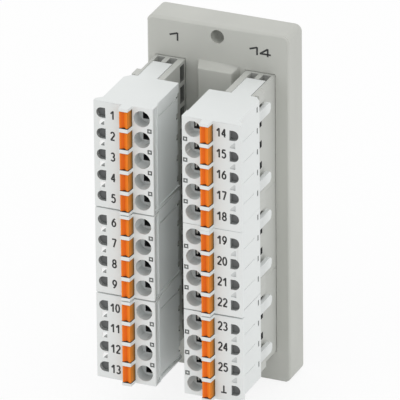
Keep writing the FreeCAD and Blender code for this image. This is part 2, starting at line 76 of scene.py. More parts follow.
# Places on a plug, in millimetres: across it from its middle towards the locking fingers,
# and behind its face
BUTTON_LINE = -1.57
BUTTON_MIDDLE = -1.82
BUTTON_RISE = 2.05
ENTRY_LINE = -5.05
ENTRY_BORE = 3.75
ENTRY_HALF = 2.0
ENTRY_DEPTH = 3.0
CLAMP_WIDTH = 1.9
TEST_NEAR = 3.57
TEST_FAR = 5.67
TEST_HALF = 1.4
TEST_DEPTH = 1.0
CHAMBER_SIDE = -6.55
CHAMBER_FAR = 1.2
CHAMBER_HALF = 2.2
CHAMBER_END = 13.25
HOLE_SIDE = -7.69
HOLE_SIDE_BEHIND_RIM = -7.44
PANEL_SIDE = -7.14
HOOK_SIDE = 4.97
NECK_SIDE = 2.25
HEADER_SIDE = 3.06
PLUG_DEPTH = 15.0
HEADER_HEIGHT = 11.6

# Small relief of a plug, in the same terms: two kinds of marks on its face, below a row
MARK_LINE = -6.88
MARK_LEVEL = -2.6
MARK_HALF = 0.52
MARK_POST = 0.2
WEDGE_LINE = 4.35
WEDGE_LEVEL = -2.45

# Notches at its rear, dashes on its hook side and windows in its neck
NOTCH_IN = 1.0
NOTCH_LENGTH = 0.9
NOTCH_LEVEL = -0.2
NOTCH_HALF = 0.65
DASH_BEHIND = (11.9, 12.5)
DASH_ABOVE = (0.4, 1.7)
DASH_DEPTH = 0.3
WINDOW_FRONT = PLUG_DEPTH + 0.32
WINDOW_END = 21.6
WINDOW_DEPTH = 0.5
WINDOW_DROP = 0.85
WINDOW_HALF = 1.25

# A stepped recess near one end of its hole side: each step's inset, width and depth
RECESS_STEPS = ((1.3, 2.4, 0.15), (1.9, 1.2, 0.3))
RECESS_BEHIND = (4.0, 14.4)

# Roundings, and how far the ends of plugs and headers reach towards their neighbours, in
# millimetres
PLUG_EDGE = 0.12
PLUG_FRONT_EDGE = 0.22
PLUG_REACH = 0.12
HEADER_EDGE = 0.12
HEADER_REACH = 0.16
BUTTON_EDGE = 0.1

# The angle from which an edge counts as sharp, in degrees
SHARP_ANGLE = 30


# Selecting and shaping

def select_only(piece):
    bpy.ops.object.select_all(action="DESELECT")
    piece.select_set(True)
    bpy.context.view_layer.objects.active = piece


def merge(piece):
    """Join a mesh's loose triangles."""
    select_only(piece)
    bpy.ops.object.mode_set(mode="EDIT")
    bpy.ops.mesh.select_all(action="SELECT")
    bpy.ops.mesh.remove_doubles(threshold=0.002 * MM)
    bpy.ops.object.mode_set(mode="OBJECT")


def flatten(piece):
    """Take away the edges inside flat faces."""
    select_only(piece)
    bpy.ops.object.mode_set(mode="EDIT")
    bpy.ops.mesh.select_all(action="SELECT")
    bpy.ops.mesh.dissolve_limited(angle_limit=math.radians(0.5))
    bpy.ops.object.mode_set(mode="OBJECT")


def join(pieces):
    bpy.ops.object.select_all(action="DESELECT")
    for piece in pieces:
        piece.select_set(True)
    bpy.context.view_layer.objects.active = pieces[0]
    if len(pieces) > 1:
        bpy.ops.object.join()
    return bpy.context.view_layer.objects.active


def copy_moved(piece, move):
    """A copy with its own mesh, moved."""
    select_only(piece)
    bpy.ops.object.duplicate()
    copy = bpy.context.view_layer.objects.active
    copy.data.transform(Matrix.Translation(move))
    return copy


def apply_modifier(piece, kind, name, **settings):
    select_only(piece)
    modifier = piece.modifiers.new(name, kind)
    for setting, value in settings.items():
        setattr(modifier, setting, value)
    bpy.ops.object.modifier_apply(modifier=name)


def from_line(point, start, end):
    """A point's distance from a straight run between two ends."""
    near, share = intersect_point_line(point, start, end)
    if share <= 0:
        near = start
    elif share >= 1:
        near = end
    return (point - near).length


def room_beside(edge, same_way=0.7):
    """The least distance from an edge to the rest of its two faces' outlines.

    Edges that carry it on in about the same direction don't count.
    """
    start, end = (vertex.co for vertex in edge.verts)
    along = (end - start).normalized()
    room = math.inf
    for face in edge.link_faces:
        for other in face.edges:
            if other is edge:
                continue
            first, second = other.verts
            touching = first in edge.verts or second in edge.verts
            direction = (second.co - first.co).normalized()
            if touching and abs(direction.dot(along)) > same_way:
                continue
            for vertex in other.verts:
                if vertex not in edge.verts:
                    room = min(room, from_line(vertex.co, start, end))
            if not touching:
                room = min(room, from_line(start, first.co, second.co),
                           from_line(end, first.co, second.co))
    return room


def round_chosen(piece, width, segments, chosen, share=2.1):
    """Round the sharp outer edges that are chosen by their middle.

    The faces beside an edge need room for it: this share of the rounding's width.
    """
    select_only(piece)
    bpy.ops.object.mode_set(mode="EDIT")
    bpy.ops.mesh.select_all(action="DESELECT")
    bpy.ops.mesh.select_mode(type="EDGE")
    mesh = bmesh.from_edit_mesh(piece.data)
    for edge in mesh.edges:
        sharp = edge.is_convex and edge.calc_face_angle() > math.radians(SHARP_ANGLE)
        edge.select = (sharp and chosen((edge.verts[0].co + edge.verts[1].co) / 2)
                       and room_beside(edge) > share * width * MM)
    bmesh.update_edit_mesh(piece.data)
    bpy.ops.mesh.bevel(offset=width * MM, segments=segments, affect="EDGES", clamp_overlap=False)
    bpy.ops.object.mode_set(mode="OBJECT")


def smooth(piece):
    """Smooth shading over the roundings, with the large faces kept flat."""
    select_only(piece)
    bpy.ops.object.shade_smooth_by_angle(angle=math.radians(SHARP_ANGLE))
    apply_modifier(piece, "WEIGHTED_NORMAL", "flat_faces",
                   mode="FACE_AREA", weight=100, keep_sharp=True)


def round_edges(piece, width, segments=2):
    """Round a moulding's or a stamping's sharp edges."""
    round_chosen(piece, width, segments, lambda middle: True)
    smooth(piece)


def copy_of(node, name):
    """A CAD piece's copy, merged, ready to be shaped."""
    select_only(NODES[node])
    bpy.ops.object.duplicate()
    piece = bpy.context.view_layer.objects.active
    piece.name = name
    piece.data = piece.data.copy()
    piece.data.name = name
    piece.data.materials.clear()
    merge(piece)
    return piece


def stand_for(piece, node):
    """Put a finished piece in a CAD node's place."""
    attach(piece, BODY_OF[node])
    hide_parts(node)


# Materials

def new_material(name, colour, roughness):
    """A material with its shader, its nodes and its links."""
    material = bpy.data.materials.new(name)
    material.use_nodes = True
    nodes, links = material.node_tree.nodes, material.node_tree.links
    shader = nodes["Principled BSDF"]
    shader.inputs["Base Color"].default_value = (*colour, 1)
    shader.inputs["Roughness"].default_value = roughness
    return material, shader, nodes, links


def noise(nodes, links, waves, detail=2.0, stretch=(1, 1, 1)):
    """A noise over the piece's own place, with its waves to the metre."""
    place = nodes.new("ShaderNodeTexCoord")
    mapping = nodes.new("ShaderNodeMapping")
    mapping.inputs["Scale"].default_value = stretch
    texture = nodes.new("ShaderNodeTexNoise")
    texture.inputs["Scale"].default_value = waves
    texture.inputs["Detail"].default_value = detail
    links.new(place.outputs["Object"], mapping.inputs["Vector"])
    links.new(mapping.outputs["Vector"], texture.inputs["Vector"])
    return texture


def colour_ramp(nodes, links, factor, colours, target, places):
    """Let a factor run a socket's colour from the first to the second, between two places."""
    ramp = nodes.new("ShaderNodeValToRGB")
    for element, place, colour in zip(ramp.color_ramp.elements, places, colours):
        element.position = place
        element.color = (*colour, 1)
    links.new(factor, ramp.inputs["Fac"])
    links.new(ramp.outputs["Color"], target)


def vary(nodes, links, factor, low, high, target):
    """Let a factor run a socket's number from low to high."""
    spread = nodes.new("ShaderNodeMapRange")
    spread.inputs["To Min"].default_value = low
    spread.inputs["To Max"].default_value = high
    links.new(factor, spread.inputs["Value"])
    links.new(spread.outputs["Result"], target)


def grain(nodes, links, shader, factor, strength, depth):
    """A fine relief from a factor, depth in millimetres."""
    bump = nodes.new("ShaderNodeBump")
    bump.inputs["Strength"].default_value = strength
    bump.inputs["Distance"].default_value = depth * MM
    links.new(factor, bump.inputs["Height"])
    links.new(bump.outputs["Normal"], shader.inputs["Normal"])


def tints(colour, dark, light):
    """A colour's two shades, each channel times a factor."""
    return [tuple(min(1.0, channel * factor) for channel in colour) for factor in (dark, light)]


# Where a noise's middle part begins and ends
NOISE_MIDDLE = (0.35, 0.65)
# The eroded grain of the moulds
GRAIN_WAVES = 5200
GRAIN_DETAIL = 3.0
GRAIN_STRENGTH = 0.35
GRAIN_DEPTH = 0.006
GRAIN_ROUGHNESS = 0.06
# The buttons reflect less than the other mouldings
BUTTON_GLOSS = 0.2


def moulded(name, colour, roughness, spread=0.03, gloss=0.5):
    """Moulded plastic: soft flow shades over centimetres and a fine eroded grain."""
    material, shader, nodes, links = new_material(name, colour, roughness)
    shader.inputs["Specular IOR Level"].default_value = gloss
    flow = noise(nodes, links, waves=90, detail=3.0, stretch=(1, 1, 0.4)).outputs["Fac"]
    colour_ramp(nodes, links, flow, tints(colour, 1 - spread, 1 + spread),
                shader.inputs["Base Color"], NOISE_MIDDLE)
    speckle = noise(nodes, links, GRAIN_WAVES, GRAIN_DETAIL).outputs["Fac"]
    vary(nodes, links, speckle, roughness - GRAIN_ROUGHNESS, roughness + GRAIN_ROUGHNESS,
         shader.inputs["Roughness"])
    grain(nodes, links, shader, speckle, GRAIN_STRENGTH, GRAIN_DEPTH)
    return material


def shaded_side(name, front_colour, foot_colour, front, foot, roughness):
    """Moulded plastic with painted shade: darker from a front to a foot, two places along the
    depth.
    """
    material, shader, nodes, links = new_material(name, front_colour, roughness)
    shader.inputs["Specular IOR Level"].default_value = BUTTON_GLOSS
    place = nodes.new("ShaderNodeTexCoord")
    parts = nodes.new("ShaderNodeSeparateXYZ")
    depth = nodes.new("ShaderNodeMapRange")
    depth.inputs["From Min"].default_value = front
    depth.inputs["From Max"].default_value = foot
    links.new(place.outputs["Object"], parts.inputs["Vector"])
    links.new(parts.outputs["Y"], depth.inputs["Value"])
    colour_ramp(nodes, links, depth.outputs["Result"], (front_colour, foot_colour),
                shader.inputs["Base Color"], (0.35, 1.0))
    speckle = noise(nodes, links, GRAIN_WAVES, GRAIN_DETAIL).outputs["Fac"]
    grain(nodes, links, shader, speckle, GRAIN_STRENGTH, GRAIN_DEPTH)
    return material


def plated(name, colour, roughness, lines=(1, 1, 1)):
    """Plated metal with faint rolling marks."""
    material, shader, nodes, links = new_material(name, colour, roughness)
    shader.inputs["Metallic"].default_value = 1.0
    marks = noise(nodes, links, waves=1500, detail=4.0, stretch=lines).outputs["Fac"]
    colour_ramp(nodes, links, marks, tints(colour, 0.88, 1.06),
                shader.inputs["Base Color"], NOISE_MIDDLE)
    vary(nodes, links, marks, roughness - 0.08, roughness + 0.1, shader.inputs["Roughness"])
    grain(nodes, links, shader, marks, strength=0.2, depth=0.004)
    return material


def printed(name, colour):
    """Matt ink with slightly uneven cover."""
    material, shader, nodes, links = new_material(name, colour, roughness=0.6)
    cover = noise(nodes, links, waves=2600).outputs["Fac"]
    colour_ramp(nodes, links, cover, tints(colour, 0.8, 1.3),
                shader.inputs["Base Color"], NOISE_MIDDLE)
    return material


def board_lacquer(name, colour):
    """Solder resist over copper areas that show as slightly lighter fields."""
    material, shader, nodes, links = new_material(name, colour, roughness=0.35)
    shader.inputs["Coat Weight"].default_value = 0.3
    fields = noise(nodes, links, waves=240, detail=0.0, stretch=(1, 1, 0.25)).outputs["Fac"]
    colour_ramp(nodes, links, fields, tints(colour, 1, 1.15),
                shader.inputs["Base Color"], (0.47, 0.53))
    weave = noise(nodes, links, waves=2200).outputs["Fac"]
    grain(nodes, links, shader, weave, strength=0.2, depth=0.01)
    return material


PLUG_GREY = moulded("light_grey_moulding", (0.765, 0.79, 0.782), 0.42, spread=0.012)
# Painted shade: a mid grey in the wedge marks of the right plugs
MARK_PAINTED_SHADE = moulded("plug_mark_painted_shade", (0.60, 0.62, 0.615), 0.5, spread=0.06)
# Painted highlight: near white on the upper facet of the left plugs' wedge marks
MARK_PAINTED_HIGHLIGHT = moulded("plug_mark_painted_highlight", (0.97, 0.98, 0.975), 0.4, spread=0.01)
# Painted shade: near black in the chamber behind the entries, in the neck windows and in the
# header's wall slots
PLUG_PAINTED_SHADE = moulded("plug_inside_painted_shade", (0.05, 0.052, 0.052), 0.6, spread=0.08)
# Painted shade: a darker grey on the walls of the conductor entries, as in a deep funnel
ENTRY_PAINTED_SHADE = moulded("entry_funnel_painted_shade", (0.66, 0.685, 0.68), 0.5, spread=0.06)
# Painted shade: a dark grey in the test openings, the core marks, the side dashes and the left
# plugs' dark facets
SMALL_RECESS_PAINTED_SHADE = moulded("small_recess_inside_painted_shade", (0.33, 0.345, 0.34), 0.55, spread=0.1)
# Painted shade: darker still on the floors of the test openings and in the rear notches
DEEP_RECESS_PAINTED_SHADE = moulded("test_floor_and_notch_painted_shade", (0.155, 0.16, 0.16), 0.55, spread=0.1)
# Painted shade: dark inside the windows round a header's foot
WINDOW_PAINTED_SHADE = moulded("header_window_inside", (0.17, 0.175, 0.165), 0.6, spread=0.1)
# Painted shade, lighter: inside the windows near a header's ends
END_WINDOW_PAINTED_SHADE = moulded("header_end_window_inside", (0.37, 0.377, 0.36), 0.6, spread=0.1)
HEADER_GREY = moulded("header_grey_moulding", (0.535, 0.545, 0.515), 0.5)
PLATE_GREY = moulded("plate_grey_moulding", (0.53, 0.537, 0.50), 0.5)
BUTTON_ORANGE = moulded("orange_moulding", (0.89, 0.225, 0.014), 0.45, 0.05, BUTTON_GLOSS)
# Painted shade: a deeper orange on the flanks of the buttons' grooves that face right
BUTTON_FLANK_PAINTED_SHADE = moulded("orange_groove_flank_painted_shade", (0.79, 0.15, 0.008), 0.45, 0.05, BUTTON_GLOSS)
BUTTON_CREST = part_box("button_01")[0][1]
# Painted shade: the buttons' sides darken from the crest towards the foot
BUTTON_SIDE_PAINTED_SHADE = shaded_side("orange_side_painted_shade", (0.72, 0.225, 0.016), (0.20, 0.11, 0.025),
                          BUTTON_CREST, BUTTON_CREST + BUTTON_RISE * MM, 0.5)
NUMBER_INK = printed("number_ink", (0.03, 0.032, 0.033))
PIN_TIN = plated("tinned_pins", (0.72, 0.71, 0.69), 0.3, lines=(1, 0.1, 1))
CONTACT_TIN = plated("tinned_contacts", (0.74, 0.71, 0.66), 0.32, lines=(1, 1, 0.2))
SPRING_STEEL = plated("spring_steel", (0.62, 0.62, 0.62), 0.25, lines=(0.2, 1, 1))
CONNECTOR_STEEL = plated("connector_steel", (0.64, 0.63, 0.61), 0.35, lines=(1, 1, 0.15))
PIN_GOLD = plated("gold_flashed_pins", (0.83, 0.62, 0.27), 0.28, lines=(1, 0.1, 1))
INSULATOR_BLACK = moulded("black_insulator", (0.022, 0.022, 0.024), 0.45, spread=0.2)
BOARD_GREEN = board_lacquer("board_lacquer", (0.012, 0.085, 0.035))


# The positions, from the buttons' places

def positions():
    """Each position: its label, its button and plug, the way the plug's fingers point, and
    where the plug's middle, the row and the plug's face are."""
    for side, outward in (("left", -1), ("right", 1)):
        number = 1 if side == "left" else COLUMN + 1
        for level, count in BLOCKS:
            for _ in range(count):
                label = str(number) if number < 2 * COLUMN else "earth"
                node = f"button_{number:02d}" if label != "earth" else "button_earth"
                low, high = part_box(node)
                yield {"label": label, "button": node, "plug": f"plug_{side}_{level}",
                       "outward": outward,
                       "middle": (low[0] + high[0]) / 2 - outward * BUTTON_MIDDLE * MM,
                       "z": (low[2] + high[2]) / 2,
                       "face": low[1] + BUTTON_RISE * MM}
                number += 1


POSITIONS = list(positions())


def place_in(position, across, behind, above):
    """A place from a plug's own terms: across from its middle, behind its face and above the
    position's row."""
    return Vector((position["middle"] + position["outward"] * across * MM,
                   position["face"] + behind * MM,
                   position["z"] + above * MM))


def terms_in(position, place):
    """The same the other way round, in millimetres."""
    return ((place.x - position["middle"]) * position["outward"] / MM,
            (place.y - position["face"]) / MM,
            (place.z - position["z"]) / MM)


# Openings, by the places of their faces

ANYWHERE = (-math.inf, math.inf)
# How far beside an opening or a cut the middle of a face or an edge still belongs to it
NEAR = 0.05
SKIN = 0.02


def around(middle, half):
    return middle - half, middle + half


def grown(span, by):
    return span[0] - by, span[1] + by


def within(*spans):
    """A test for places in a plug's own terms: their spans across, behind and above."""
    return lambda *terms: all(low < term < high for term, (low, high) in zip(terms, spans))


in_funnel = within(around(ENTRY_LINE, ENTRY_BORE / 2 + NEAR),
                   (2 * NEAR, ENTRY_DEPTH + NEAR), around(0, ENTRY_HALF))
in_test_opening = within((TEST_NEAR - NEAR, TEST_FAR + NEAR),
                         (2 * NEAR, TEST_DEPTH + NEAR), around(0, TEST_HALF))
on_test_floor = within((TEST_NEAR - NEAR, TEST_FAR + NEAR),
                       around(TEST_DEPTH, NEAR), around(0, TEST_HALF))
in_chamber = within((CHAMBER_SIDE - NEAR, CHAMBER_FAR),
                    (ENTRY_DEPTH + NEAR, CHAMBER_END + 2 * NEAR), around(0, CHAMBER_HALF))
in_core_mark = within(around(MARK_LINE, MARK_HALF + 2 * SKIN), (0.03, 0.6),
                      around(MARK_LEVEL, MARK_HALF + 2 * SKIN))
in_wedge_mark = within(around(WEDGE_LINE, 0.95), (0.004, 0.6), around(WEDGE_LEVEL, 1.1))
in_rear_notch = within(grown((HOLE_SIDE_BEHIND_RIM, HOLE_SIDE_BEHIND_RIM + NOTCH_IN), SKIN),
                       (PLUG_DEPTH - NOTCH_LENGTH - SKIN, math.inf),
                       around(NOTCH_LEVEL, NOTCH_HALF + SKIN))
in_side_dash = within((HOOK_SIDE - DASH_DEPTH - NEAR, HOOK_SIDE - SKIN),
                      grown(DASH_BEHIND, 2 * NEAR), grown(DASH_ABOVE, 2 * NEAR))
in_neck_window = within((NECK_SIDE - WINDOW_DEPTH - SKIN, NECK_SIDE - SKIN),
                        (WINDOW_FRONT - SKIN, WINDOW_END + 2 * NEAR),
                        around(0, WINDOW_DROP + WINDOW_HALF + 4 * NEAR))


def towards_light(across, above):
    """Whether a place in a left plug's wedge mark lies on the upper side of its diagonal."""
    return across - WEDGE_LINE + above - WEDGE_LEVEL > 0


def in_light_facet(across, behind, above):
    return in_wedge_mark(across, behind, above) and towards_light(across, above)


def in_dark_facet(across, behind, above):
    return in_wedge_mark(across, behind, above) and not towards_light(across, above)


def paint_faces(piece, material, chosen):
    """Give the faces that are chosen a material of their own."""
    index = len(piece.data.materials)
    piece.data.materials.append(material)
    for face in piece.data.polygons:
        if chosen(face):
            face.material_index = index


def paint_openings(piece, rows):
    """Painted shade in the funnels, test openings and the chamber behind them, in the small marks,
    notches, dashes and neck windows, and a painted highlight on one facet of the left plugs' wedge
    marks.
    """
    # The left plugs' wedge marks get a painted highlight on one facet and painted shade on the
    # other; the right plugs' marks get painted shade
    if rows[0]["outward"] < 0:
        wedge_paint = ((MARK_PAINTED_HIGHLIGHT, in_light_facet), (SMALL_RECESS_PAINTED_SHADE, in_dark_facet))
    else:
        wedge_paint = ((MARK_PAINTED_SHADE, in_wedge_mark),)
    for material, inside in ((ENTRY_PAINTED_SHADE, in_funnel), (SMALL_RECESS_PAINTED_SHADE, in_test_opening),
                             (DEEP_RECESS_PAINTED_SHADE, on_test_floor), (PLUG_PAINTED_SHADE, in_chamber),
                             (SMALL_RECESS_PAINTED_SHADE, in_core_mark), *wedge_paint,
                             (DEEP_RECESS_PAINTED_SHADE, in_rear_notch), (SMALL_RECESS_PAINTED_SHADE, in_side_dash),
                             (PLUG_PAINTED_SHADE, in_neck_window)):
        paint_faces(piece, material,
                    lambda face: any(inside(*terms_in(row, face.center)) for row in rows))


# Small relief of the plug mouldings

# How far outside the plug a cut begins: generally, at the hole side, and before the face
OUTSIDE = 0.2
OUTSIDE_HOLES = 0.3
OUTSIDE_FACE = -0.85
# Cuts that repeat down a plug, each as its spans across, behind and above the row
REAR_NOTCH = ((HOLE_SIDE_BEHIND_RIM - OUTSIDE_HOLES, HOLE_SIDE_BEHIND_RIM + NOTCH_IN),
              (PLUG_DEPTH - NOTCH_LENGTH, PLUG_DEPTH + OUTSIDE),
              around(NOTCH_LEVEL, NOTCH_HALF))
SIDE_DASH = ((HOOK_SIDE - DASH_DEPTH, HOOK_SIDE + OUTSIDE), DASH_BEHIND, DASH_ABOVE)
SIDE_BAND = ((HOOK_SIDE - 0.1, HOOK_SIDE + OUTSIDE), (4.2, 10.0), (-3.25, -2.95))
RIM_SLOT = ((HOLE_SIDE + 0.4, HOLE_SIDE + 0.75), (1.2, 1.9), (-3.3, -0.9))
WEDGE = (around(WEDGE_LINE, 0.6), (OUTSIDE_FACE, 0.1), around(WEDGE_LEVEL, 0.65))
LIGHT_FACET = ((WEDGE_LINE - 0.55, WEDGE_LINE + 0.75), (OUTSIDE_FACE, 0.06),
               (WEDGE_LEVEL - 0.4, WEDGE_LEVEL + 0.95))
DARK_FACET = ((WEDGE_LINE - 0.6, WEDGE_LINE + 0.15), (OUTSIDE_FACE, 0.08),
              (WEDGE_LEVEL - 0.5, WEDGE_LEVEL + 0.35))
# The groove behind the rim of the hole side, which stops short of the plug's ends
RIM_GROOVE = ((HOLE_SIDE - OUTSIDE_HOLES, HOLE_SIDE + 0.5), (0.9, 3.02))
RIM_GROOVE_MARGIN = 0.5
# The slant of a wedge and of the two facets, in degrees
WEDGE_SLANT = 13
FACET_SLANT = 15


def block(position, across, behind, above, turn=(0, 0, 0)):
    """A block in a plug's own terms, each given as its span in millimetres."""
    low = place_in(position, across[0], behind[0], above[0])
    high = place_in(position, across[1], behind[1], above[1])
    bpy.ops.object.select_all(action="DESELECT")
    bpy.ops.mesh.primitive_cube_add(size=1, location=(low + high) / 2,
                                    rotation=[math.radians(angle) for angle in turn],
                                    scale=[abs(side) for side in high - low])
    bpy.ops.object.transform_apply(location=True, rotation=True, scale=True)
    return bpy.context.view_layer.objects.active


def repeated(piece, rows):
    """A piece that is modelled at the first row, with a copy at each of the others."""
    moves = [Vector((0, 0, row["z"] - rows[0]["z"])) for row in rows[1:]]
    return join([piece] + [copy_moved(piece, move) for move in moves])


def core_mark(position, depth=(-0.1, 0.4), overlap=0.05, hair=0.001):
    """The cut round a small square post between two conductor entries."""
    low, high = around(MARK_LINE, MARK_HALF)
    foot, top = around(MARK_LEVEL, MARK_HALF)
    beside = around(MARK_LINE, MARK_POST + overlap)
    return [block(position, (low, MARK_LINE - MARK_POST), depth, (foot, top)),
            block(position, (MARK_LINE + MARK_POST, high), depth, (foot, top)),
            block(position, beside, depth, (MARK_LEVEL + MARK_POST, top - hair)),
            block(position, beside, depth, (foot + hair, MARK_LEVEL - MARK_POST))]


def wedge_mark(position):
    """The mark between two test openings: a recess that deepens to its lower right, or two facets
    on the left plugs, one with a painted highlight and one with painted shade."""
    if position["outward"] > 0:
        return [block(position, *WEDGE, (WEDGE_SLANT, 0, WEDGE_SLANT))]
    return [block(position, *LIGHT_FACET, (-FACET_SLANT, 0, -FACET_SLANT)),
            block(position, *DARK_FACET, (FACET_SLANT, 0, FACET_SLANT))]


def stepped_recess(position, foot, top):
    """The steps of the recess, at the plug's top in the left column and its foot in the right."""
    for inset, width, depth in RECESS_STEPS:
        if position["outward"] < 0:
            above = (top - inset - width, top - inset)
        else:
            above = (foot + inset, foot + inset + width)
        yield block(position, (PANEL_SIDE - OUTSIDE, PANEL_SIDE + depth),
                    grown(RECESS_BEHIND, -inset / 2), above)


def plug_cuts(node, rows):
    """Every small cut of a plug; the cuts at each row are modelled once and repeated down its
    rows.
    """
    low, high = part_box(node)
    first, between = rows[0], rows[:-1]
    windowed = rows[:-1] if first["outward"] > 0 else rows[1:]
    foot, top = ((end - first["z"]) / MM for end in (low[2], high[2]))
    cuts = [block(first, *RIM_GROOVE, grown((foot, top), -RIM_GROOVE_MARGIN))]
    cuts.append(repeated(block(first, *REAR_NOTCH), rows))
    cuts.append(repeated(block(first, *SIDE_DASH), rows))
    cuts += [repeated(piece, between) for piece in core_mark(first)]
    cuts += [repeated(piece, between) for piece in wedge_mark(first)]
    cuts.append(repeated(block(first, *RIM_SLOT), between))
    cuts.append(repeated(block(first, *SIDE_BAND), between))
    cuts += stepped_recess(first, foot, top)
    window = block(windowed[0], (NECK_SIDE - WINDOW_DEPTH, NECK_SIDE + OUTSIDE),
                   (WINDOW_FRONT, WINDOW_END),
                   around(-first["outward"] * WINDOW_DROP, WINDOW_HALF))
    cuts.append(repeated(window, windowed))
    return cuts


def carve(piece, cuts):
    """Take cuts away from a piece, one kind after another."""
    for cutter in cuts:
        apply_modifier(piece, "BOOLEAN", "small_relief", operation="DIFFERENCE",
                       solver="MANIFOLD", object=cutter)
        bpy.data.objects.remove(cutter)
    merge(piece)
    flatten(piece)


def draw_ends(piece, node, reach, share, flush=0.01):
    """Draw a block's ends out towards its neighbours in the column, by a share of the reach
    at each place."""
    low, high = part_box(node)
    for vertex in piece.data.vertices:
        if vertex.co.z > high[2] - flush * MM and not node.endswith("top"):
            vertex.co.z += reach * share(vertex.co) * MM
        elif vertex.co.z < low[2] + flush * MM and not node.endswith("bottom"):
            vertex.co.z -= reach * share(vertex.co) * MM


# Where a plug's edges stay sharp
KEPT_SHARP = (
    # the button ways and the chambers
    within(around(BUTTON_LINE, 1.4), ANYWHERE, ANYWHERE),
    within(grown((CHAMBER_SIDE, CHAMBER_FAR), 2 * NEAR),
           grown((ENTRY_DEPTH, CHAMBER_END), 2 * NEAR), ANYWHERE),
    # the marks on the face
    within(around(MARK_LINE, 0.7), ANYWHERE, around(MARK_LEVEL, 0.7)),
    within(around(WEDGE_LINE, 1.0), (-math.inf, 0.8), around(WEDGE_LEVEL, 1.15)),
    # the groove behind the rim and the notches at the rear
    within((-math.inf, HOLE_SIDE + 0.8), (0.85, 3.1), ANYWHERE),
    within((-math.inf, HOLE_SIDE_BEHIND_RIM + NOTCH_IN + 2 * NEAR),
           (PLUG_DEPTH - NOTCH_LENGTH - 2 * NEAR, math.inf),
           around(NOTCH_LEVEL, NOTCH_HALF + 2 * NEAR)),
    # the bands and dashes of the hook side, and the neck
    within(around(HOOK_SIDE, 0.3), (4.1, 12.4), ANYWHERE),
    within(ANYWHERE, (PLUG_DEPTH + 0.25, math.inf), ANYWHERE),
)


def round_outer_edges(piece, rows):
    """Round a plug's own edges, the front edge of its hole side wider than the others."""
    def on_front_edge(middle, flush=0.01):
        across, behind, _ = terms_in(rows[0], middle)
        return abs(across - HOLE_SIDE) < flush and abs(behind) < flush

    def on_outer_edge(middle):
        places = [terms_in(row, middle) for row in rows]
        return not any(kept(*place) for place in places for kept in KEPT_SHARP)

    round_chosen(piece, PLUG_FRONT_EDGE, 3, on_front_edge, share=1.2)
    round_chosen(piece, PLUG_EDGE, 2, on_outer_edge)
    smooth(piece)


# The clamp's end in a conductor entry: how its strip lies, and its bent lip
TONGUE_GAP = 0.03
TONGUE_SHEET = 0.3
TONGUE_FRONT = ENTRY_DEPTH + 0.25
TONGUE_END = 6.6
TONGUE_HALF = 0.7
LIP_ACROSS = 0.3
LIP_FORWARD = 0.2
TONGUE_EDGE = 0.05


def clamp_tongue(position):
    """The end of the clamp's sheet that shows in a conductor entry: a strip with a bent lip."""
    near = ENTRY_LINE - CLAMP_WIDTH / 2 + TONGUE_GAP
    piece = block(position, (near, near + TONGUE_SHEET), (TONGUE_FRONT, TONGUE_END),
                  around(0, TONGUE_HALF))
    lip = place_in(position, 0, TONGUE_FRONT, 0).y
    bpy.ops.object.mode_set(mode="EDIT")
    bpy.ops.mesh.select_all(action="DESELECT")
    bpy.ops.object.mode_set(mode="OBJECT")
    for face in piece.data.polygons:
        face.select = abs(face.center.y - lip) < 0.01 * MM
    bpy.ops.object.mode_set(mode="EDIT")
    bend = (position["outward"] * LIP_ACROSS * MM, -LIP_FORWARD * MM, 0)
    bpy.ops.mesh.extrude_region_move(TRANSFORM_OT_translate={"value": bend})
    bpy.ops.mesh.select_all(action="SELECT")
    bpy.ops.mesh.bevel(offset=TONGUE_EDGE * MM, segments=2, affect="EDGES")
    bpy.ops.object.mode_set(mode="OBJECT")
    return piece


# Plugs

def plug_housing(node):
    """A plug with its relief, the painted shade and painted highlight in its openings and marks,
    and the clamps' ends.
    """
    piece = copy_of(node, node + "_housing")
    rows = [position for position in POSITIONS if position["plug"] == node]
    carve(piece, plug_cuts(node, rows))

    def end_share(place):
        """The ends widen towards the rear; one seam of the right column is close all the way."""
        if (node == "plug_right_top" and place.z < rows[-1]["z"]
                or node == "plug_right_middle" and place.z > rows[0]["z"]):
            return 1
        return min(1, max(0, terms_in(rows[0], place)[1] / PLUG_DEPTH))

    draw_ends(piece, node, PLUG_REACH, end_share)
    piece.data.materials.clear()
    piece.data.materials.append(PLUG_GREY)
    paint_openings(piece, rows)
    round_outer_edges(piece, rows)
    stand_for(piece, node)

    tongues = repeated(clamp_tongue(rows[0]), rows)
    tongues.name = node + "_clamp_tongues"
    tongues.data.name = tongues.name
    tongues.data.materials.append(CONTACT_TIN)
    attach(tongues, BODY_OF[node])


# Headers

# The windows round a header's foot: their height before the plate, the skins of the walls
# beside them, and how far an end window reaches in
HEADER_WINDOW = (0.3, 3.9)
WALL_SKINS = (1.2, 0.3)
END_WINDOW_REACH = 2.5
# The slots in its thin wall, behind its mouth
WALL_SLOT = (0.1, 4.05)


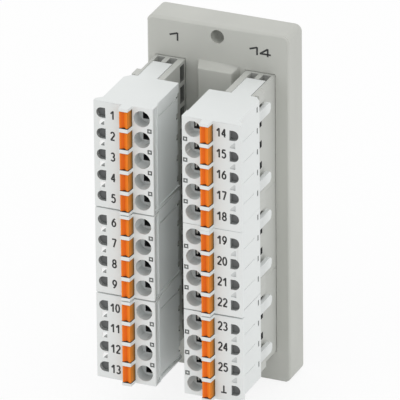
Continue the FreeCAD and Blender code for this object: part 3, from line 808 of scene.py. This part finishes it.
def header_shroud(node):
    """The shroud with painted shade inside its windows and wall slots, its ends drawn up to its
    neighbours.
    """
    piece = copy_of(node, node + "_shroud")
    flatten(piece)
    low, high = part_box(node)
    plug = node.replace("header", "plug")
    column = next(position for position in POSITIONS if position["plug"] == plug)
    draw_ends(piece, node, HEADER_REACH, lambda place: 1)
    piece.data.materials.append(HEADER_GREY)

    def from_end(face):
        return min(high[2] - face.center.z, face.center.z - low[2]) / MM

    def behind_mouth(face):
        return (face.center.y - low[1]) / MM

    def in_window(face):
        before_plate = HEADER_HEIGHT - behind_mouth(face)
        between_walls = (low[0] + WALL_SKINS[0] * MM < face.center.x
                         < high[0] - WALL_SKINS[1] * MM)
        return (HEADER_WINDOW[0] < before_plate < HEADER_WINDOW[1] and between_walls
                and from_end(face) > SKIN)

    def in_end_window(face):
        return in_window(face) and from_end(face) < END_WINDOW_REACH

    def in_wall_slot(face):
        across, _, _ = terms_in(column, face.center)
        faces_sideways = abs(face.normal.x) >= 0.5
        return (WALL_SLOT[0] < behind_mouth(face) < WALL_SLOT[1]
                and NECK_SIDE + NEAR < across < HEADER_SIDE
                and not faces_sideways and from_end(face) > SKIN)

    # Painted shade inside the windows, lighter near the ends, and near black inside the wall slots
    paint_faces(piece, WINDOW_PAINTED_SHADE, in_window)
    paint_faces(piece, END_WINDOW_PAINTED_SHADE, in_end_window)
    paint_faces(piece, PLUG_PAINTED_SHADE, in_wall_slot)
    round_edges(piece, HEADER_EDGE)
    stand_for(piece, node)


# Buttons

def on_groove_flank(face):
    """The flank of a button's groove that faces right."""
    return 0.2 < face.normal.x < 0.9 and face.normal.y < -0.2


def on_button_side(face):
    return abs(face.normal.x) > 0.9


def push_button(node):
    """A button with painted shade on its groove's flanks that face right and on its sides."""
    piece = copy_of(node, node + "_piece")
    flatten(piece)
    piece.data.materials.append(BUTTON_ORANGE)
    paint_faces(piece, BUTTON_FLANK_PAINTED_SHADE, on_groove_flank)
    paint_faces(piece, BUTTON_SIDE_PAINTED_SHADE, on_button_side)
    round_edges(piece, BUTTON_EDGE)
    stand_for(piece, node)


# Plain CAD pieces

def rounded_piece(node, material, width, segments=2):
    """A CAD piece with rounded edges."""
    piece = copy_of(node, node + "_piece")
    flatten(piece)
    piece.data.materials.append(material)
    round_edges(piece, width, segments)
    stand_for(piece, node)


def recolour(node, material):
    """A CAD piece whose shape is right keeps it."""
    NODES[node].data.materials.clear()
    NODES[node].data.materials.append(material)


# Print

def bow(centre, size, start, end, step_angle=20, least_steps=4):
    """Points round a part of an oval, by its centre, its half sizes and its two angles in
    degrees."""
    steps = max(least_steps, round(abs(end - start) / step_angle))
    angles = [math.radians(start + (end - start) * step / steps) for step in range(steps + 1)]
    return [(centre[0] + size[0] * math.cos(angle), centre[1] + size[1] * math.sin(angle))
            for angle in angles]


# The strokes of each figure in a cell one wide and one high
STROKES = {
    "0": [bow((0.5, 0.5), (0.48, 0.5), 90, 450)],
    "1": [[(0.05, 0.66), (0.68, 1.0)], [(0.68, 1.04), (0.68, -0.04)]],
    "2": [bow((0.5, 0.71), (0.46, 0.29), 165, -30), [(0.93, 0.6), (0.03, 0.0)],
          [(-0.05, 0.0), (1.05, 0.0)]],
    "3": [bow((0.46, 0.75), (0.42, 0.25), 150, -90), bow((0.46, 0.25), (0.5, 0.25), 90, -150)],
    "4": [[(1.05, 0.28), (-0.05, 0.28)], [(0.0, 0.28), (0.74, 1.0)],
          [(0.74, 1.04), (0.74, -0.04)]],
    "5": [[(0.97, 1.0), (0.13, 1.0)], [(0.19, 1.0), (0.12, 0.55)],
          bow((0.46, 0.33), (0.5, 0.33), 135, -150)],
    "6": [[(0.82, 1.0), (0.5, 0.86), (0.22, 0.66), (0.07, 0.4)],
          bow((0.5, 0.31), (0.47, 0.31), 170, 530)],
    "7": [[(-0.05, 1.0), (1.05, 1.0)], [(1.0, 1.0), (0.36, -0.04)]],
    "8": [bow((0.5, 0.75), (0.4, 0.25), -90, 270), bow((0.5, 0.25), (0.48, 0.25), 90, 450)],
    "9": [[(0.18, 0.0), (0.5, 0.14), (0.78, 0.34), (0.93, 0.6)],
          bow((0.5, 0.69), (0.47, 0.31), -10, 350)],
}
EARTH = [[(0.5, 1.0), (0.5, 0.0)], [(0.0, 0.0), (1.0, 0.0)]]

# Sizes of the print, in millimetres: the cells of the figures and signs, and their strokes
PLUG_FIGURE = (0.86, 1.86)
PLUG_STROKE = 0.38
FIGURE_GAP = 0.38
EARTH_CELL = (1.3, 1.7)
EARTH_CORNER = (-0.5, 0, -1.2)
PLATE_FIGURE_HEIGHT = 1.78
PLATE_STROKE = 0.42
# How thick the ink is beside its strokes' width, and how far it stands before a face
INK_FLATNESS = 0.04
INK_LIFT = 0.005
# Across a plug and above a row, by the way the plug's fingers point
NUMBER_PLACE = {-1: (1.87, -0.26), 1: (1.6, 0.33)}
# The plate's figures: left edge, foot and width
PLATE_FIGURES = (("1", -11.5, 37.0, 3.0), ("1", 7.48, 36.75, 2.84), ("4", 10.15, 36.7, 2.4))


def printed_strokes(strokes, size, stroke):
    """Strokes as a thin flat mesh that faces the front: the cell's size and the stroke's width
    in millimetres."""
    curve = bpy.data.curves.new("print", "CURVE")
    curve.dimensions = "3D"
    curve.bevel_depth = stroke / 2 * MM
    curve.bevel_resolution = 1
    curve.use_fill_caps = True
    for points in strokes:
        spline = curve.splines.new("POLY")
        spline.points.add(len(points) - 1)
        for point, (x, y) in zip(spline.points, points):
            point.co = (x * size[0] * MM, y * size[1] * MM, 0, 1)
    piece = bpy.data.objects.new("print", curve)
    bpy.context.scene.collection.objects.link(piece)
    select_only(piece)
    bpy.ops.object.convert(target="MESH")
    piece = bpy.context.view_layer.objects.active
    upright = Matrix.Rotation(math.radians(90), 4, "X")
    piece.data.transform(upright @ Matrix.Diagonal((1, 1, INK_FLATNESS, 1)))
    return piece


# The plugs' figures, each made once
FIGURES = {figure: printed_strokes(strokes, PLUG_FIGURE, PLUG_STROKE)
           for figure, strokes in STROKES.items()}


def figures(label, centre):
    """Copies of a number's figures side by side about a centre."""
    step = PLUG_FIGURE[0] + FIGURE_GAP
    start = Vector((-(len(label) * step - FIGURE_GAP) / 2, 0, -PLUG_FIGURE[1] / 2))
    return [copy_moved(FIGURES[figure], centre + (start + Vector((order * step, 0, 0))) * MM)
            for order, figure in enumerate(label)]


def finish_print(pieces, name, body):
    piece = join(pieces)
    piece.name = name
    piece.data.name = name
    piece.data.materials.clear()
    piece.data.materials.append(NUMBER_INK)
    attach(piece, body)


def plug_numbers(node):
    """The numbers between the buttons and the test openings; the last position has the earth
    sign."""
    signs = []
    for position in POSITIONS:
        if position["plug"] != node:
            continue
        across, above = NUMBER_PLACE[position["outward"]]
        centre = place_in(position, across, -INK_LIFT, above)
        if position["label"] == "earth":
            sign = printed_strokes(EARTH, EARTH_CELL, PLUG_STROKE)
            sign.data.transform(Matrix.Translation(centre + Vector(EARTH_CORNER) * MM))
            signs.append(sign)
        else:
            signs += figures(position["label"], centre)
    finish_print(signs, node + "_numbers", BODY_OF[node])


def plate_numbers():
    """The first number of each column, in wide figures."""
    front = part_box("header_left_top")[0][1] + (HEADER_HEIGHT - INK_LIFT) * MM
    signs = []
    for figure, left, foot, width in PLATE_FIGURES:
        sign = printed_strokes(STROKES[figure], (width, PLATE_FIGURE_HEIGHT), PLATE_STROKE)
        sign.data.transform(Matrix.Translation(Vector((left * MM, front, foot * MM))))
        signs.append(sign)
    finish_print(signs, "plate_numbers", "base")


# Assembly

rounded_piece("base_plate", PLATE_GREY, width=0.25, segments=3)
recolour("circuit_board", BOARD_GREEN)
recolour("header_pins", PIN_TIN)
for side in ("left", "right"):
    for level, _ in BLOCKS:
        plug = f"plug_{side}_{level}"
        header_shroud(f"header_{side}_{level}")
        plug_housing(plug)
        plug_numbers(plug)
        recolour(plug + "_contacts", CONTACT_TIN)
        recolour(plug + "_springs", SPRING_STEEL)
for position in POSITIONS:
    push_button(position["button"])
rounded_piece("connector_shell", CONNECTOR_STEEL, width=0.12)
rounded_piece("connector_insulator", INSULATOR_BLACK, width=0.15)
rounded_piece("connector_pins", PIN_GOLD, width=0.2, segments=3)
rounded_piece("connector_screw_locks", CONNECTOR_STEEL, width=0.25)
plate_numbers()
for figure in FIGURES.values():
    bpy.data.objects.remove(figure)


# Floor, light and camera

FLOOR_SIZE = 6
FLOOR_COLOUR = (0.93, 0.93, 0.93)
# How much of the floor that is seen, also in a reflection, is plain white
FLOOR_WHITE = 0.85
WORLD_STRENGTH = 0.96
# Each lamp's place and size in metres, and its power in watts
LAMPS = (("top_light", (0.1, -0.1, 1.0), 0.6, 0.5),
         ("side_light", (0.5, -0.85, 0.4), 0.6, 0.2))

# The photograph's view: angles in degrees, the point looked at in millimetres, the distance
# in metres, and the lens as half the picture's width over the focal length, both in pixels
AZIMUTH = 23.26
ELEVATION = 25.49
ROLL = -0.56
TARGET = (0.675, -19.6, 5.425)
DISTANCE = 2.0
HALF_PICTURE = 200
FOCAL_LENGTH = 9136


def floor_material():
    """A matt floor that looks nearly white and lights the part as a pale one does."""
    material, shader, nodes, links = new_material("studio_floor", FLOOR_COLOUR, roughness=0.9)
    shader.inputs["Specular IOR Level"].default_value = 0.0
    path = nodes.new("ShaderNodeLightPath")
    glow = nodes.new("ShaderNodeEmission")
    glow.inputs["Color"].default_value = (1, 1, 1, 1)
    mix = nodes.new("ShaderNodeMixShader")
    seen = path.outputs["Is Camera Ray"]
    for kind in ("Is Glossy Ray", "Is Transmission Ray"):
        either = nodes.new("ShaderNodeMath")
        either.operation = "MAXIMUM"
        links.new(seen, either.inputs[0])
        links.new(path.outputs[kind], either.inputs[1])
        seen = either.outputs[0]
    share = nodes.new("ShaderNodeMath")
    share.operation = "MULTIPLY"
    share.inputs[1].default_value = FLOOR_WHITE
    links.new(seen, share.inputs[0])
    links.new(share.outputs[0], mix.inputs["Fac"])
    links.new(shader.outputs["BSDF"], mix.inputs[1])
    links.new(glow.outputs["Emission"], mix.inputs[2])
    links.new(mix.outputs["Shader"], nodes["Material Output"].inputs["Surface"])
    return material


def studio():
    """The floor under the part, an even white surrounding and two soft lamps."""
    low = CAD_BOX[0]
    bpy.ops.object.select_all(action="DESELECT")
    bpy.ops.mesh.primitive_plane_add(size=FLOOR_SIZE, location=(0, 0, low[2]))
    floor = bpy.context.view_layer.objects.active
    floor.name = "studio_floor"
    floor.data.materials.append(floor_material())

    world = bpy.data.worlds.new("studio")
    bpy.context.scene.world = world
    world.use_nodes = True
    background = world.node_tree.nodes["Background"]
    background.inputs["Color"].default_value = (1.0, 1.0, 1.0, 1)
    background.inputs["Strength"].default_value = WORLD_STRENGTH

    for name, place, size, power in LAMPS:
        lamp = bpy.data.lights.new(name, "AREA")
        lamp.size = size
        lamp.energy = power
        holder = bpy.data.objects.new(name, lamp)
        bpy.context.scene.collection.objects.link(holder)
        holder.location = place
        holder.rotation_euler = (-Vector(place)).to_track_quat("-Z", "Y").to_euler()


def camera():
    """The photograph's view: a long lens, to the right of the front and above it."""
    azimuth, elevation, roll = (math.radians(angle) for angle in (AZIMUTH, ELEVATION, ROLL))
    back = Vector((math.sin(azimuth) * math.cos(elevation),
                   -math.cos(azimuth) * math.cos(elevation), math.sin(elevation)))
    lens = bpy.data.cameras.new("photo_camera")
    lens.sensor_fit = "HORIZONTAL"
    lens.angle = 2 * math.atan(HALF_PICTURE / FOCAL_LENGTH)
    lens.clip_end = 20
    holder = bpy.data.objects.new("photo_camera", lens)
    bpy.context.scene.collection.objects.link(holder)
    turn = back.to_track_quat("Z", "Y").to_matrix().to_4x4() @ Matrix.Rotation(roll, 4, "Z")
    holder.matrix_world = Matrix.Translation(Vector(TARGET) * MM + back * DISTANCE) @ turn
    bpy.context.scene.camera = holder


studio()
camera()
bpy.context.scene.view_settings.view_transform = "Standard"
